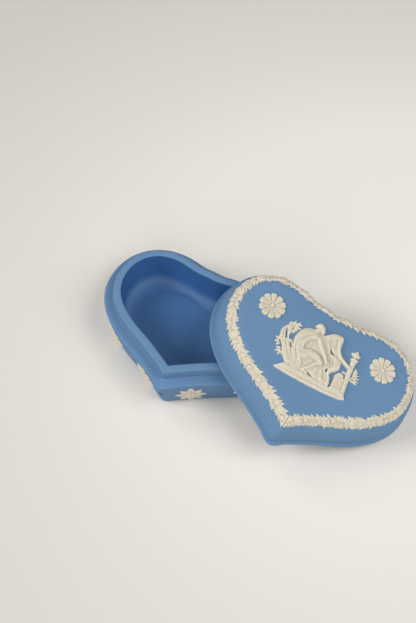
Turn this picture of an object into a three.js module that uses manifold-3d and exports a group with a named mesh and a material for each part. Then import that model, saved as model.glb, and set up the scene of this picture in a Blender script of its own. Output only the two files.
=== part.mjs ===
// Heart-shaped lidded stoneware box, with the lid taken off and leaning on the base.
// Millimetres, +Z up. The origin is on the table, at the middle of the base's foot.
// The heart's axis of symmetry runs along Y: its tip points to -Y, its notch to +Y.
import * as THREE from 'three';
import { mergeVertices } from 'three/addons/utils/BufferGeometryUtils.js';
import Module from 'manifold-3d';

// ---------------------------------------------------------------- driving dimensions
// The heart's outline, as a radius at an angle: 0 degrees is the notch (+Y), 180 the tip (-Y).
const HEART_PHI = [0, 14, 28, 42, 56, 72, 90, 108, 124, 138, 150, 160, 168, 174, 180];
const HEART_R = [22.27, 23.52, 26.47, 34.40, 43.72, 51.31, 54.89, 54.58, 51.47, 48.62, 47.21, 47.68, 49.50, 51.89, 54.86];

const LEDGE_Z = 19.80;        // height of the ledge that the closed lid stands on
const RIM_Z = 26.06;          // top of the inner rim
const RIM_OUT = 5.08;         // outline to the rim's outer wall
const RIM_IN = 9.28;          // outline to the rim's inner wall, the box's opening
const FOOT_IN = 3.00;         // how far the foot stands in from the outline
const FLOOR_Z = 5.2;          // top of the floor
const FLOOR_FILLET = 6.5;     // soft corner between floor and wall

const LID_H = 19.00;          // lid, bottom edge to top
const LID_SCALE = 1.011;      // the lid overhangs the base slightly
const SHOULDER_IN = 10.65;     // the shoulder's width, an ellipse's half axis
const SHOULDER_H = 17.50;      // the shoulder's height, the other half axis
const LID_WALL = 4.3;         // skirt thickness at the bottom edge
const LID_CEILING = 14.40;     // height of the hollow

// how the loose lid leans: turned about its own axis, tilted about Y, then about X
const LID_YAW = -26.422;
const LID_TILT_Y = 15.011;
const LID_TILT_X = 8.786;
const BASE_YAW = -25.443;
const LID_AT = [61.234, -1.621, 16.784];

const RELIEF = 1.0;           // how far applied reliefs stand proud
const GAP = 0.35;             // clearance between a relief and the body under it
const GARLAND_OUT = 4.13;     // outer edge of the garland, in from the outline, on the shoulder
const GARLAND_IN = 8.62;      // inner edge of the garland, on the top
const ROSETTE_X = 31.55, ROSETTE_Y = 1.93;
const ROSETTE_R = 7.1;

const FLOWER_ARCS = [15.5, 45.5, 76.5, 106.5, 134.5];   // along the outline from the tip, each side
const FLOWER_W = 15.8, FLOWER_H = 15.2, FLOWER_Z = 8.3;

// angles, from the notch round one side to the tip; close together at the tip
const HALF = [0, 8, 16, 24, 32, 40, 48, 56, 64, 72, 80, 88, 96, 104, 112, 120, 128, 136, 144, 150,
  155, 159.5, 163.5, 167, 170, 172.6, 175, 177, 178.6, 180];

// ---------------------------------------------------------------- the heart's outline
const rad = (d) => d * Math.PI / 180;

// clamped cubic spline through the outline's radii, flat at the notch and the tip
function spline(xs, ys) {
  const n = xs.length, a = [], b = [], c = [], d = [];
  for (let i = 0; i < n; i++) {
    if (i === 0 || i === n - 1) { a.push(0); b.push(1); c.push(0); d.push(0); continue; }
    const h0 = xs[i] - xs[i - 1], h1 = xs[i + 1] - xs[i];
    a.push(1 / h0); b.push(2 * (1 / h0 + 1 / h1)); c.push(1 / h1);
    d.push(3 * ((ys[i] - ys[i - 1]) / (h0 * h0) + (ys[i + 1] - ys[i]) / (h1 * h1)));
  }
  for (let i = 1; i < n; i++) { const w = a[i] / b[i - 1]; b[i] -= w * c[i - 1]; d[i] -= w * d[i - 1]; }
  const m = new Array(n); m[n - 1] = d[n - 1] / b[n - 1];
  for (let i = n - 2; i >= 0; i--) m[i] = (d[i] - c[i] * m[i + 1]) / b[i];
  return (x) => {
    let i = 0; while (i < n - 2 && x > xs[i + 1]) i++;
    const h = xs[i + 1] - xs[i], t = (x - xs[i]) / h, t2 = t * t, t3 = t2 * t;
    return (2 * t3 - 3 * t2 + 1) * ys[i] + (t3 - 2 * t2 + t) * h * m[i]
      + (-2 * t3 + 3 * t2) * ys[i + 1] + (t3 - t2) * h * m[i + 1];
  };
}
const heartR = spline(HEART_PHI.map(rad), HEART_R);
const at = (phi, r) => [r * Math.sin(phi), r * Math.cos(phi)];
const fine = [];
for (let i = 0; i < 720; i++) {
  const p = i * Math.PI / 360, q = p <= Math.PI ? p : 2 * Math.PI - p;
  fine.push(at(p, heartR(q)));
}
function toOutline(x, y) {
  let best = 1e9;
  for (let i = 0; i < fine.length; i++) {
    const [x0, y0] = fine[i], [x1, y1] = fine[(i + 1) % fine.length];
    const dx = x1 - x0, dy = y1 - y0;
    const t = Math.max(0, Math.min(1, ((x - x0) * dx + (y - y0) * dy) / (dx * dx + dy * dy)));
    best = Math.min(best, Math.hypot(x - x0 - t * dx, y - y0 - t * dy));
  }
  return best;
}
// the radius, at one angle, of the curve a distance inside (or, if negative, outside) the outline
const memo = new Map();
function ringR(phi, inset) {
  const q = phi <= Math.PI ? phi : 2 * Math.PI - phi, key = q.toFixed(6) + ',' + inset.toFixed(4);
  if (memo.has(key)) return memo.get(key);
  const r0 = heartR(q);
  const depth = (r) => (r < r0 ? 1 : -1) * toOutline(...at(q, r));
  let r = r0;
  if (Math.abs(inset) > 1e-9) {
    let lo = r0, step = inset > 0 ? -0.5 : 0.5;
    while (inset > 0 ? depth(lo) < inset : depth(lo) > inset) lo += step;
    let a = lo - step, b = lo;
    for (let k = 0; k < 30; k++) {
      const m = (a + b) / 2;
      if (inset > 0 ? depth(m) < inset : depth(m) > inset) a = m; else b = m;
    }
    r = (a + b) / 2;
  }
  memo.set(key, r);
  return r;
}
const PHI = [...HALF, ...HALF.slice(1, -1).reverse().map((d) => 360 - d)].map(rad);

// ---------------------------------------------------------------- solids from rings
// rings: [[inset, z], ...] from the middle of one face round to the middle of the other
function heartSolid(profile, bottomZ, topZ, scale = 1) {
  const n = PHI.length, v = [0, 0, bottomZ], f = [];
  for (const [inset, z] of profile)
    for (const p of PHI) { const [x, y] = at(p, ringR(p, inset)); v.push(x * scale, y * scale, z); }
  v.push(0, 0, topZ);
  const last = v.length / 3 - 1;
  for (let i = 0; i < n; i++) {
    const j = (i + 1) % n;
    f.push(0, 1 + i, 1 + j);
    for (let k = 0; k < profile.length - 1; k++) {
      const a = 1 + k * n + i, b = 1 + k * n + j, c = a + n, d = b + n;
      f.push(a, c, b, b, c, d);
    }
    const e = 1 + (profile.length - 1) * n;
    f.push(e + i, last, e + j);
  }
  return solid(v, f);
}
function solid(v, f) {
  const g = new THREE.BufferGeometry();
  g.setAttribute('position', new THREE.Float32BufferAttribute(v, 3));
  g.setIndex(f);
  return g;
}

// ---------------------------------------------------------------- materials
const clay = new THREE.MeshStandardMaterial({ color: 0x5f86ad, roughness: 0.85, metalness: 0 });
const slip = new THREE.MeshStandardMaterial({ color: 0xc9c4b6, roughness: 0.85, metalness: 0 });

const box = new THREE.Group();
const add = (group, name, geometry, material) => {
  const mesh = new THREE.Mesh(geometry, material);
  mesh.name = name;
  group.add(mesh);
  return mesh;
};

// ---------------------------------------------------------------- the base
const base = new THREE.Group();
box.add(base);
// outer wall of the base: inset at a height; it flares from the foot to the ledge
const wallInset = (z) => {
  const t = z / LEDGE_Z;
  if (z < 1) return FOOT_IN + (1 - z);
  return t < 0.5 ? FOOT_IN * (1 - t) : FOOT_IN * (0.5 - (t - 0.5) * 0.95);
};
const baseProfile = [
  [FOOT_IN + 1, 0], [FOOT_IN, 1], [wallInset(LEDGE_Z * 0.5), LEDGE_Z * 0.5], [wallInset(LEDGE_Z - 2.2), LEDGE_Z - 2.2],
  [0, LEDGE_Z - 1.1], [0.3, LEDGE_Z - 0.35], [1.1, LEDGE_Z], [RIM_OUT, LEDGE_Z],
  [RIM_OUT, RIM_Z - 0.9], [RIM_OUT + 0.9, RIM_Z], [RIM_IN - 0.9, RIM_Z], [RIM_IN, RIM_Z - 0.9],
  [RIM_IN + 0.4, FLOOR_Z + FLOOR_FILLET],
  ...[30, 60, 90].map((a) => [RIM_IN + 0.4 + FLOOR_FILLET * (1 - Math.cos(rad(a))), FLOOR_Z + FLOOR_FILLET * (1 - Math.sin(rad(a)))]),
];
add(base, 'base_shell', heartSolid(baseProfile, 0, FLOOR_Z), clay);

// distance along the outline from the tip, and the point and outward normal there
const along = [];
{
  let s = 0, prev = null;
  for (let i = 0; i <= 1200; i++) {
    const p = Math.PI - i * Math.PI / 1200, [x, y] = at(p, heartR(p));
    if (prev) s += Math.hypot(x - prev[0], y - prev[1]);
    along.push([s, p]); prev = [x, y];
  }
}
function phiAt(s) {
  let i = 1; while (i < along.length - 1 && along[i][0] < s) i++;
  const t = (s - along[i - 1][0]) / (along[i][0] - along[i - 1][0]);
  return along[i - 1][1] + t * (along[i][1] - along[i - 1][1]);
}
const wallPoint = (s, z, out) => {
  const p = s >= 0 ? phiAt(s) : 2 * Math.PI - phiAt(-s);
  const [x, y] = at(p, ringR(p, wallInset(z) - out));
  return [x, y, z];
};
// an eight-pointed star flower, bent round the wall; side is 1 or -1
function starFlower(arc, side) {
  const n = 16, v = [], f = [];
  for (const out of [GAP + 0.1, GAP + 0.1 + RELIEF]) {
    v.push(...wallPoint(side * arc, FLOWER_Z, out + (out > 1 ? 0.5 : 0)));
    for (const k of [0.5, 1]) for (let i = 0; i < n; i++) {
      const a = i * 2 * Math.PI / n, r = k * (i % 2 ? 0.62 : 1);
      v.push(...wallPoint(side * (arc + Math.cos(a) * r * FLOWER_W / 2), FLOWER_Z + Math.sin(a) * r * FLOWER_H / 2, out));
    }
  }
  const m = 1 + 2 * n, flip = side < 0;
  const tri = (a, b, c) => (flip ? f.push(a, b, c) : f.push(a, c, b));
  for (let i = 0; i < n; i++) {
    const j = (i + 1) % n;
    tri(0, 1 + i, 1 + j);
    tri(1 + i, 1 + n + i, 1 + n + j); tri(1 + i, 1 + n + j, 1 + j);
    tri(m, m + 1 + j, m + 1 + i);
    tri(m + 1 + i, m + 1 + n + j, m + 1 + n + i); tri(m + 1 + i, m + 1 + j, m + 1 + n + j);
    tri(1 + n + i, m + 1 + n + i, m + 1 + n + j); tri(1 + n + i, m + 1 + n + j, 1 + n + j);
  }
  return solid(v, f);
}
FLOWER_ARCS.forEach((arc, i) => {
  add(base, `star_flower_right_${i + 1}`, starFlower(arc, 1), slip);
  add(base, `star_flower_left_${i + 1}`, starFlower(arc, -1), slip);
});

// ---------------------------------------------------------------- the lid
// its own frame: z = 0 is the bottom edge, +Z out of the top
const lid = new THREE.Group();
const turn = (axis, deg) => new THREE.Quaternion().setFromAxisAngle(axis, rad(deg));
const X = new THREE.Vector3(1, 0, 0), Y = new THREE.Vector3(0, 1, 0), Z = new THREE.Vector3(0, 0, 1);
lid.quaternion.copy(turn(Z, -BASE_YAW).multiply(turn(X, LID_TILT_X)).multiply(turn(Y, LID_TILT_Y)).multiply(turn(Z, LID_YAW)));
lid.position.set(...LID_AT);
box.add(lid);

const shoulder = (a) => [SHOULDER_IN * (1 - Math.cos(rad(a))), LID_H - SHOULDER_H * (1 - Math.sin(rad(a)))];
const edgeAngle = Math.acos(1 - GARLAND_OUT / SHOULDER_IN) * 180 / Math.PI;
const onShoulder = (inset) => shoulder(Math.acos(1 - inset / SHOULDER_IN) * 180 / Math.PI);
const garlandRings = [shoulder(edgeAngle), onShoulder(GARLAND_OUT * 0.55 + GARLAND_IN * 0.45), onShoulder(GARLAND_IN)];
const lidOuter = [[0.6, 0], [0, 0.8], shoulder(0), shoulder(edgeAngle * 0.35), shoulder(edgeAngle * 0.68), ...garlandRings, [SHOULDER_IN, LID_H]];
const lidInner = [[LID_WALL + 7.5, LID_CEILING], [LID_WALL + 3.6, LID_CEILING - 1.1], [LID_WALL + 1.2, LID_CEILING - 4.2], [LID_WALL, 0.8], [LID_WALL - 0.7, 0]];
add(lid, 'lid_shell', heartSolid([...lidInner, ...lidOuter], LID_CEILING, LID_H, LID_SCALE), clay);

// the garland's lengths lie on the shoulder, on the same rings as the lid's facets
const GARLAND_CUTS = [38, 80, 127];   // degrees round from the notch where lengths meet, one side
function garland(from, to) {
  const v = [], f = [];
  const outer = garlandRings;
  // outward normals of the profile at each ring
  const normals = outer.map((p, i) => {
    const a = outer[Math.max(0, i - 1)], b = outer[Math.min(outer.length - 1, i + 1)];
    const l = Math.hypot(b[0] - a[0], b[1] - a[1]);
    return [-(b[1] - a[1]) / l, (b[0] - a[0]) / l];
  });
  const lift = (k, h) => [outer[k][0] + normals[k][0] * h, outer[k][1] + normals[k][1] * h];
  const count = outer.length;
  const section = [];
  for (let k = 0; k < count; k++) section.push(lift(k, GAP));
  for (let k = count - 1; k >= 0; k--) section.push(lift(k, GAP + (k === 0 || k === count - 1 ? 0.5 : 1) * RELIEF));
  const stops = [from, ...PHI.filter((p) => p > from + 0.012 && p < to - 0.012), to];
  for (const p of stops) for (const [inset, z] of section) {
    const [x, y] = at(p, ringR(p, inset));
    v.push(x * LID_SCALE, y * LID_SCALE, z);
  }
  const m = section.length;
  for (let s = 0; s < stops.length - 1; s++) for (let k = 0; k < m; k++) {
    const a = s * m + k, b = s * m + (k + 1) % m, c = a + m, d = b + m;
    f.push(a, c, b, b, c, d);
  }
  const e = (stops.length - 1) * m;
  for (let k = 0; k < count - 1; k++) {
    const a = k, b = k + 1, c = m - 1 - k, d = m - 2 - k;
    f.push(a, b, d, a, d, c);
    f.push(e + a, e + d, e + b, e + a, e + c, e + d);
  }
  return solid(v, f);
}
{
  const cuts = [0, ...GARLAND_CUTS, 180], space = (p) => 0.35 / heartR(p);
  for (let i = 0; i < cuts.length - 1; i++) {
    const a = rad(cuts[i]), b = rad(cuts[i + 1]);
    const from = a + space(a), to = b - space(b);
    add(lid, `garland_right_${i + 1}`, garland(from, to), slip);
    add(lid, `garland_left_${i + 1}`, garland(2 * Math.PI - to, 2 * Math.PI - from), slip);
  }
}

// a flat relief with a moulded outline, standing on the lid's top
function relief(points, thickness) {
  const shape = new THREE.Shape(points.map(([x, y]) => new THREE.Vector2(x * LID_SCALE, y * LID_SCALE)));
  const g = new THREE.ExtrudeGeometry(shape, { depth: thickness, bevelEnabled: false, steps: 1 });
  g.deleteAttribute('normal'); g.deleteAttribute('uv');
  g.translate(0, 0, LID_H + GAP);
  return mergeVertices(g, 1e-4);
}
// ten notched petals
const rosette = (cx, cy) => {
  const points = [];
  for (let i = 0; i < 10; i++) for (const [t, r] of [[0, 0.84], [0.22, 0.99], [0.5, 0.94], [0.78, 0.99]]) {
    const a = (i + t) * Math.PI / 5;
    points.push([cx + Math.cos(a) * r * ROSETTE_R, cy + Math.sin(a) * r * ROSETTE_R]);
  }
  return relief(points, 1.4);
};
add(lid, 'rosette_right', rosette(ROSETTE_X, ROSETTE_Y), slip);
add(lid, 'rosette_left', rosette(-ROSETTE_X, ROSETTE_Y), slip);

// the scene in the middle: one moulded piece, joined from its parts
const wasm = await Module();
wasm.setup();
const toManifold = (g) => new wasm.Manifold(new wasm.Mesh({
  numProp: 3, vertProperties: new Float32Array(g.getAttribute('position').array), triVerts: new Uint32Array(g.getIndex().array),
}));
const SCENE = [
  { height: 1.2, points: [[-17.5, -25.85], [-14.4, -22.85], [-14, -21.85], [19.4, -21.85], [20.4, -23.25], [18, -24.55], [10, -25.85], [0, -26.55], [-8, -26.85], [-16.6, -26.45]] },
  { height: 2.4, points: [[-13, -22.45], [-13.5, -15.85], [-15, -9.85], [-14.6, -4.85], [-13, -0.35], [-10, 1.75], [-7.8, 2.35], [-7.4, 4.55], [-6, 6.15], [-4, 6.55],
    [-2.4, 5.55], [-1.9, 3.75], [-2.2, 2.55], [0.5, 4.05], [3, 6.05], [5.3, 7.05], [7.4, 5.95], [8.1, 3.65], [8.2, 0.15], [9.8, -3.45], [12.6, -4.85], [16, -5.65],
    [16, -8.25], [12, -7.85], [11.8, -10.85], [10.3, -13.35], [8.2, -16.85], [10, -19.85], [10.2, -22.45]] },
  { height: 1.4, points: [[-12.5, -22.25], [-14.5, -21.45], [-17.8, -18.05], [-19.2, -20.65], [-20.6, -19.15], [-20, -17.05], [-21.8, -15.85], [-22.6, -12.85],
    [-21.2, -11.85], [-22.4, -7.85], [-21.3, -4.45], [-19.8, -2.45], [-19.2, -0.35], [-17.6, -0.25], [-16.4, 1.95], [-14, 1.75], [-13, 0.55], [-14, -1.65], [-16.6, -3.45],
    [-15.6, -4.85], [-17, -7.45], [-16.6, -9.25], [-15.2, -10.25], [-14, -12.85], [-12, -15.85]] },
  { height: 1.7, points: [[11, -22.65], [11.2, -16.35], [10.6, -14.35], [11.8, -12.45], [13.3, -11.85], [15, -12.85], [16.2, -14.85], [16.2, -22.65]] },
  { height: 1.5, points: [[15.8, -22.55], [15.4, -13.85], [15.3, -9.85], [15.1, -3.85], [14.9, -1.55], [15.4, 0.15], [13.8, 2.05], [15, 2.55], [16.4, 3.95], [17.6, 2.65],
    [19, 2.35], [17.9, 0.15], [18.3, -1.65], [18.1, -5.85], [18.3, -11.85], [18.5, -15.85], [18.6, -19.85], [19.2, -22.55]] },
  { height: 1.1, points: [[17.9, -13.25], [22, -13.45], [23.4, -10.25], [22.2, -6.85], [19.4, -4.65], [19.6, -8.85], [18.8, -11.45], [17.9, -11.85]] },
];
{
  let whole = null;
  for (const { height, points } of SCENE) {
    const g = relief(points, height);
    const part = toManifold(g.getIndex() ? g : mergeVertices(g));
    whole = whole ? whole.add(part) : part;
  }
  const m = whole.getMesh();
  add(lid, 'scene_relief', solid([...m.vertProperties], [...m.triVerts]), slip);
}

export default box;
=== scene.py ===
import bpy, math
import numpy as np
from mathutils import Matrix, Vector


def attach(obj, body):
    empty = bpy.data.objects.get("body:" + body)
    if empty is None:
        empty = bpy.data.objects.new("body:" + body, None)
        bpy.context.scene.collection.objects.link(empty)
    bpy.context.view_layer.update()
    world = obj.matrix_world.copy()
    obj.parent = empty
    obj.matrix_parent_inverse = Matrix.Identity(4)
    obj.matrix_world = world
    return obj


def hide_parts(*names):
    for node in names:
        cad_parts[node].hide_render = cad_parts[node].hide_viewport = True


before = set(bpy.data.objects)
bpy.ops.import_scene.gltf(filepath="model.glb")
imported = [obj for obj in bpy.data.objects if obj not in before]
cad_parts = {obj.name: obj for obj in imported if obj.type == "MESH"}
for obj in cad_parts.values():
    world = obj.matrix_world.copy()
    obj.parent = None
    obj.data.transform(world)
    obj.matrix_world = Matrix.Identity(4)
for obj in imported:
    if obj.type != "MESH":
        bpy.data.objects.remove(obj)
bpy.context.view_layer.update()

MM = 0.001
RNG = np.random.RandomState(11)

# ------------------------------------------------------------------ the object's dimensions, mm
HEART_PHI = np.radians([0, 14, 28, 42, 56, 72, 90, 108, 124, 138, 150, 160, 168, 174, 180])
HEART_R = np.array([22.27, 23.52, 26.47, 34.40, 43.72, 51.31, 54.89, 54.58, 51.47, 48.62, 47.21, 47.68, 49.50, 51.89, 54.86])
LEDGE_Z, RIM_Z, RIM_OUT, RIM_IN, FOOT_IN = 19.80, 26.06, 5.08, 9.28, 3.00
FLOOR_Z = 5.2
LID_H, LID_SCALE, SHOULDER_IN, SHOULDER_H = 19.00, 1.011, 10.65, 17.50
LID_WALL, LID_CEILING = 4.3, 14.4
BASE_YAW, LID_YAW, LID_TY, LID_TX = -25.443, -26.421, 15.012, 8.788
LID_AT = (61.234, -1.621, 16.784)
GARLAND_OUT, GARLAND_IN = 4.13, 8.62
ROSETTE_X, ROSETTE_Y, ROSETTE_R = 31.55, 1.93, 7.15
FLOWER_ARCS = [15.5, 45.5, 76.5, 106.5, 134.5]
FLOWER_Z = 8.3
DOME = 0.45


def rot(axis, deg):
    return np.array(Matrix.Rotation(math.radians(deg), 3, axis))


LID_R = rot("Z", -BASE_YAW) @ rot("X", LID_TX) @ rot("Y", LID_TY) @ rot("Z", LID_YAW)


def place_lid(p):
    """lid frame, mm -> row frame, mm"""
    return p @ LID_R.T + np.array(LID_AT)


def place_base(p):
    return p


# ------------------------------------------------------------------ the heart's outline
def spline(xs, ys):
    n = len(xs)
    A = np.zeros((n, n)); d = np.zeros(n)
    A[0, 0] = A[-1, -1] = 1
    for i in range(1, n - 1):
        h0, h1 = xs[i] - xs[i - 1], xs[i + 1] - xs[i]
        A[i, i - 1], A[i, i], A[i, i + 1] = 1 / h0, 2 * (1 / h0 + 1 / h1), 1 / h1
        d[i] = 3 * ((ys[i] - ys[i - 1]) / h0 ** 2 + (ys[i + 1] - ys[i]) / h1 ** 2)
    m = np.linalg.solve(A, d)

    def f(x):
        x = np.asarray(x, float)
        i = np.clip(np.searchsorted(xs, x) - 1, 0, n - 2)
        h = xs[i + 1] - xs[i]; t = (x - xs[i]) / h
        return ((2 * t ** 3 - 3 * t ** 2 + 1) * ys[i] + (t ** 3 - 2 * t ** 2 + t) * h * m[i]
                + (-2 * t ** 3 + 3 * t ** 2) * ys[i + 1] + (t ** 3 - t ** 2) * h * m[i + 1])
    return f


heart_r = spline(HEART_PHI, HEART_R)
HALF = np.radians(np.concatenate([np.linspace(0, 150, 181)[:-1], np.linspace(150, 172, 45)[:-1], np.linspace(172, 180, 33)]))
_p = np.linspace(0, 2 * np.pi, 1441)[:-1]
_q = np.where(_p <= np.pi, _p, 2 * np.pi - _p)
FINE = np.stack([heart_r(_q) * np.sin(_p), heart_r(_q) * np.cos(_p)], 1)


def to_outline(pts):
    """distance from each point to the outline"""
    a = FINE; ab = np.roll(FINE, -1, 0) - a; L = (ab ** 2).sum(1)
    out = np.empty(len(pts))
    for k in range(0, len(pts), 2000):
        p = pts[k:k + 2000]
        dx, dy = p[:, 0][:, None] - a[:, 0], p[:, 1][:, None] - a[:, 1]
        t = np.clip((dx * ab[:, 0] + dy * ab[:, 1]) / L, 0, 1)
        out[k:k + 2000] = np.sqrt(((dx - t * ab[:, 0]) ** 2 + (dy - t * ab[:, 1]) ** 2).min(1))
    return out


# depth below the outline along each ray, so a ring at any inset can be read off
_STEP = np.concatenate([np.arange(-2.0, 18.01, 0.4)])
_R0 = heart_r(HALF)
_RR = _R0[:, None] - _STEP[None] * 1.32
_pts = np.stack([(_RR * np.sin(HALF)[:, None]).ravel(), (_RR * np.cos(HALF)[:, None]).ravel()], 1)
_D = to_outline(_pts).reshape(_RR.shape) * np.sign(_STEP)[None]


def ring(inset, soft=None):
    """half ring radii at HALF for one inset; soft rounds the tip's inner corner, mm"""
    r = np.array([np.interp(inset, _D[i], _RR[i]) for i in range(len(HALF))])
    if soft is None:
        soft = min(0.9, max(0.0, (inset - 2.0) * 0.25))
    if soft > 0:
        both = np.concatenate([r, r[-2::-1]])
        ang = np.concatenate([HALF, 2 * np.pi - HALF[-2::-1]])
        x, y = both * np.sin(ang), both * np.cos(ang)
        s = np.concatenate([[0], np.cumsum(np.hypot(np.diff(x), np.diff(y)))])
        near = np.where(np.abs(s - s[len(HALF) - 1]) < 6 * soft)[0]
        x2, y2 = x.copy(), y.copy()
        for i in near:
            w = np.exp(-0.5 * ((s - s[i]) / soft) ** 2) * np.gradient(s)
            x2[i], y2[i] = (w * x).sum() / w.sum(), (w * y).sum() / w.sum()
        k = len(HALF)
        # back to a radius at each angle
        a2 = np.arctan2(x2[:k], y2[:k]); r2 = np.hypot(x2[:k], y2[:k])
        a2[-1] = np.pi
        r = np.interp(HALF, a2, r2)
    if inset > 8:
        # deep rings lose the small waves of the outline
        g = np.radians(np.linspace(0, 180, 721)); v = np.interp(g, HALF, r)
        v = np.concatenate([v[:0:-1], v, v[-2::-1]])
        wd = (inset - 8) * 1.1
        kx = np.arange(-90, 91) * 0.25; ker = np.exp(-0.5 * (kx / wd) ** 2); ker /= ker.sum()
        v = np.convolve(v, ker, "same")[720:1441]
        far = np.clip((180 - np.degrees(g)) / 8, 0, 1)      # the tip stays where it is
        base_v = np.interp(g, HALF, r)
        r = np.interp(HALF, g, base_v * (1 - far) + v * far)
    return r


_ring_cache = {}


def ring_c(inset, soft=None):
    key = (round(float(inset), 3), soft)
    if key not in _ring_cache:
        _ring_cache[key] = ring(inset, soft)
    return _ring_cache[key]


PHI_ALL = np.concatenate([HALF, 2 * np.pi - HALF[-2:0:-1]])


def full(r):
    return np.concatenate([r, r[-2:0:-1]])


# ------------------------------------------------------------------ mesh helpers
def new_mesh(name, verts_m, faces, body, node=None, mat=None, smooth=True):
    me = bpy.data.meshes.new(name)
    me.from_pydata(verts_m.tolist() if hasattr(verts_m, "tolist") else verts_m, [], faces)
    me.validate()
    if smooth:
        me.shade_smooth()
    ob = bpy.data.objects.new(name, me)
    bpy.context.scene.collection.objects.link(ob)
    if mat:
        me.materials.append(mat)
    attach(ob, body)
    if node:
        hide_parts(node)
    return ob


def shell(name, profile, place, scale, body, node, mat, start, end, inside=0.0):
    """profile: rows of (inset, z, share, softness of the tip) where share scales a ring towards the middle; start, end: z on the axis"""
    n = len(PHI_ALL); rows = []
    for inset, z, k, *soft in profile:
        r = full(ring_c(inset, *soft)) * k
        rows.append(np.stack([r * np.sin(PHI_ALL) * scale, r * np.cos(PHI_ALL) * scale, np.full(n, z)], 1))
    V = np.concatenate([[[0, 0, start]]] + rows + [[[0, 0, end]]])
    F = []
    for i in range(n):
        F.append((0, 1 + i, 1 + (i + 1) % n))
    for k in range(len(rows) - 1):
        a = 1 + k * n
        for i in range(n):
            j = (i + 1) % n
            F.append((a + i, a + n + i, a + n + j, a + j))
    a = 1 + (len(rows) - 1) * n
    last = len(V) - 1
    for i in range(n):
        F.append((a + i, last, a + (i + 1) % n))
    ob = new_mesh(name, place(V) * MM, F, body, node, mat)
    # painted shade inside the box: the 'inner' vertex attribute marks the inside walls and floor for a deeper, darker
    # blue in the material, partly the clay's own unrubbed colour and partly painted shade; it is weaker low on the wall
    # and weakest on the floor's fillet, which leaves a painted lighter band there; the outside and the rim's top get
    # none
    at = ob.data.attributes.new("inner", "FLOAT", "POINT")
    deep = lambda i, z, k: 0.0 if not inside or z < 1 or (k == 1 and i <= inside) else (1.0 - 0.28 * min(1, max(0, (12 - z) / 4)) - 0.46 * math.exp(-((z - FLOOR_Z - 1.9) / 1.25) ** 2)) if k == 1 else 0.72
    val = np.concatenate([[0.0]] + [np.full(n, deep(i, z, k)) for i, z, k, *_ in profile] + [[0.72 if inside else 0.0]])
    at.data.foreach_set("value", val.astype(np.float32))
    return ob


def arc(ci, cz, ri, rz, a0, a1, n):
    """points (inset, z) on an elliptical arc; angles in degrees, 0 along +inset, 90 along +z"""
    a = np.radians(np.linspace(a0, a1, n))
    return [(ci + ri * math.cos(t), cz + rz * math.sin(t)) for t in a]


# ------------------------------------------------------------------ materials
def nodes_of(name):
    m = bpy.data.materials.new(name)
    m.use_nodes = True
    nt = m.node_tree
    nt.nodes.clear()
    out = nt.nodes.new("ShaderNodeOutputMaterial")
    bs = nt.nodes.new("ShaderNodeBsdfPrincipled")
    nt.links.new(bs.outputs[0], out.inputs[0])
    return m, nt, bs


def noise(nt, co, scale, detail=4.0, rough=0.55, dist=0.0):
    n = nt.nodes.new("ShaderNodeTexNoise")
    n.inputs["Scale"].default_value = scale
    n.inputs["Detail"].default_value = detail
    n.inputs["Roughness"].default_value = rough
    n.inputs["Distortion"].default_value = dist
    nt.links.new(co, n.inputs["Vector"])
    return n.outputs["Fac"]


def ramp(nt, fac, stops):
    r = nt.nodes.new("ShaderNodeValToRGB")
    el = r.color_ramp.elements
    el[0].position, el[0].color = stops[0][0], (*stops[0][1], 1)
    el[1].position, el[1].color = stops[-1][0], (*stops[-1][1], 1)
    for p, c in stops[1:-1]:
        e = el.new(p); e.color = (*c, 1)
    nt.links.new(fac, r.inputs[0])
    return r.outputs[0]


def mixc(nt, fac, a, b, mode="MIX"):
    m = nt.nodes.new("ShaderNodeMix")
    m.data_type = "RGBA"; m.blend_type = mode
    for sock, val in ((m.inputs["Factor"], fac), (m.inputs[6], a), (m.inputs[7], b)):
        if isinstance(val, (int, float)):
            sock.default_value = val
        elif isinstance(val, tuple):
            sock.default_value = (*val, 1)
        else:
            nt.links.new(val, sock)
    return m.outputs[2]


def math_(nt, op, a, b=None, c=None, clamp=False):
    m = nt.nodes.new("ShaderNodeMath"); m.operation = op; m.use_clamp = clamp
    for i, val in enumerate((a, b, c)):
        if val is None:
            continue
        if isinstance(val, (int, float)):
            m.inputs[i].default_value = val
        else:
            nt.links.new(val, m.inputs[i])
    return m.outputs[0]


def lin(*rgb):
    return tuple((c / 255 / 12.92 if c / 255 <= 0.04045 else ((c / 255 + 0.055) / 1.055) ** 2.4) for c in rgb)


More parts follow.
